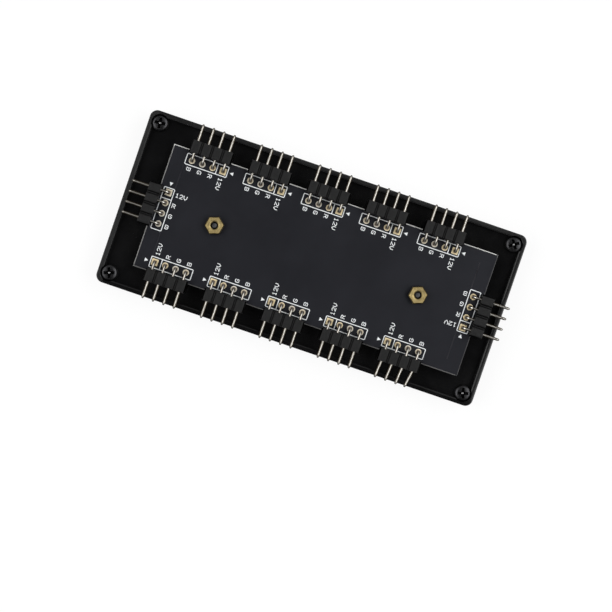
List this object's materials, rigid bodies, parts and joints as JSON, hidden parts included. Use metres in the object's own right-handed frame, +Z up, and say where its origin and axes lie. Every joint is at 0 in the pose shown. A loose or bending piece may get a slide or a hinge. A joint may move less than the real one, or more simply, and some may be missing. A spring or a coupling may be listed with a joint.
{
  "type": "pc fan rgb lighting hub",
  "caption": "Lighting splitter hub for PC fans: a black circuit board with right-angle pin headers round its edge, held by brass nuts on a shallow rimmed case with corner screws.",
  "frame": {"origin": "centre of the case's flat underside", "axes": "+X along the case to the picture's right, +Y across it to the picture's top, +Z up out of the board"},
  "size_m": [0.094, 0.0427, 0.0106],
  "materials": {
    "case_black": "polished black moulding",
    "screw_black": "black oxide steel",
    "screw_steel": "zinc-plated steel",
    "nut_brass": "bare machined brass",
    "board_black": "satin black solder mask on glass-fibre laminate, with white print and bare metal pads",
    "header_black": "matte moulded insulator",
    "pin_gold": "thin gold plate",
    "board_print": "white screen print on the board"
  },
  "bodies": {
    "root": {"case_tray": "case_black", "bottom_cover": "case_black", "corner_screws": "screw_black", "board_screws": "screw_steel", "board_nuts": "nut_brass", "circuit_board": "board_black", "header_housing_top_1": "header_black", "header_pins_top_1": "pin_gold", "header_housing_top_2": "header_black", "header_pins_top_2": "pin_gold", "header_housing_top_3": "header_black", "header_pins_top_3": "pin_gold", "header_housing_top_4": "header_black", "header_pins_top_4": "pin_gold", "header_housing_top_5": "header_black", "header_pins_top_5": "pin_gold", "header_housing_bottom_1": "header_black", "header_pins_bottom_1": "pin_gold", "header_housing_bottom_2": "header_black", "header_pins_bottom_2": "pin_gold", "header_housing_bottom_3": "header_black", "header_pins_bottom_3": "pin_gold", "header_housing_bottom_4": "header_black", "header_pins_bottom_4": "pin_gold", "header_housing_bottom_5": "header_black", "header_pins_bottom_5": "pin_gold", "header_housing_left": "header_black", "header_pins_left": "pin_gold", "header_housing_right": "header_black", "header_pins_right": "pin_gold"}
  },
  "joints": []
}
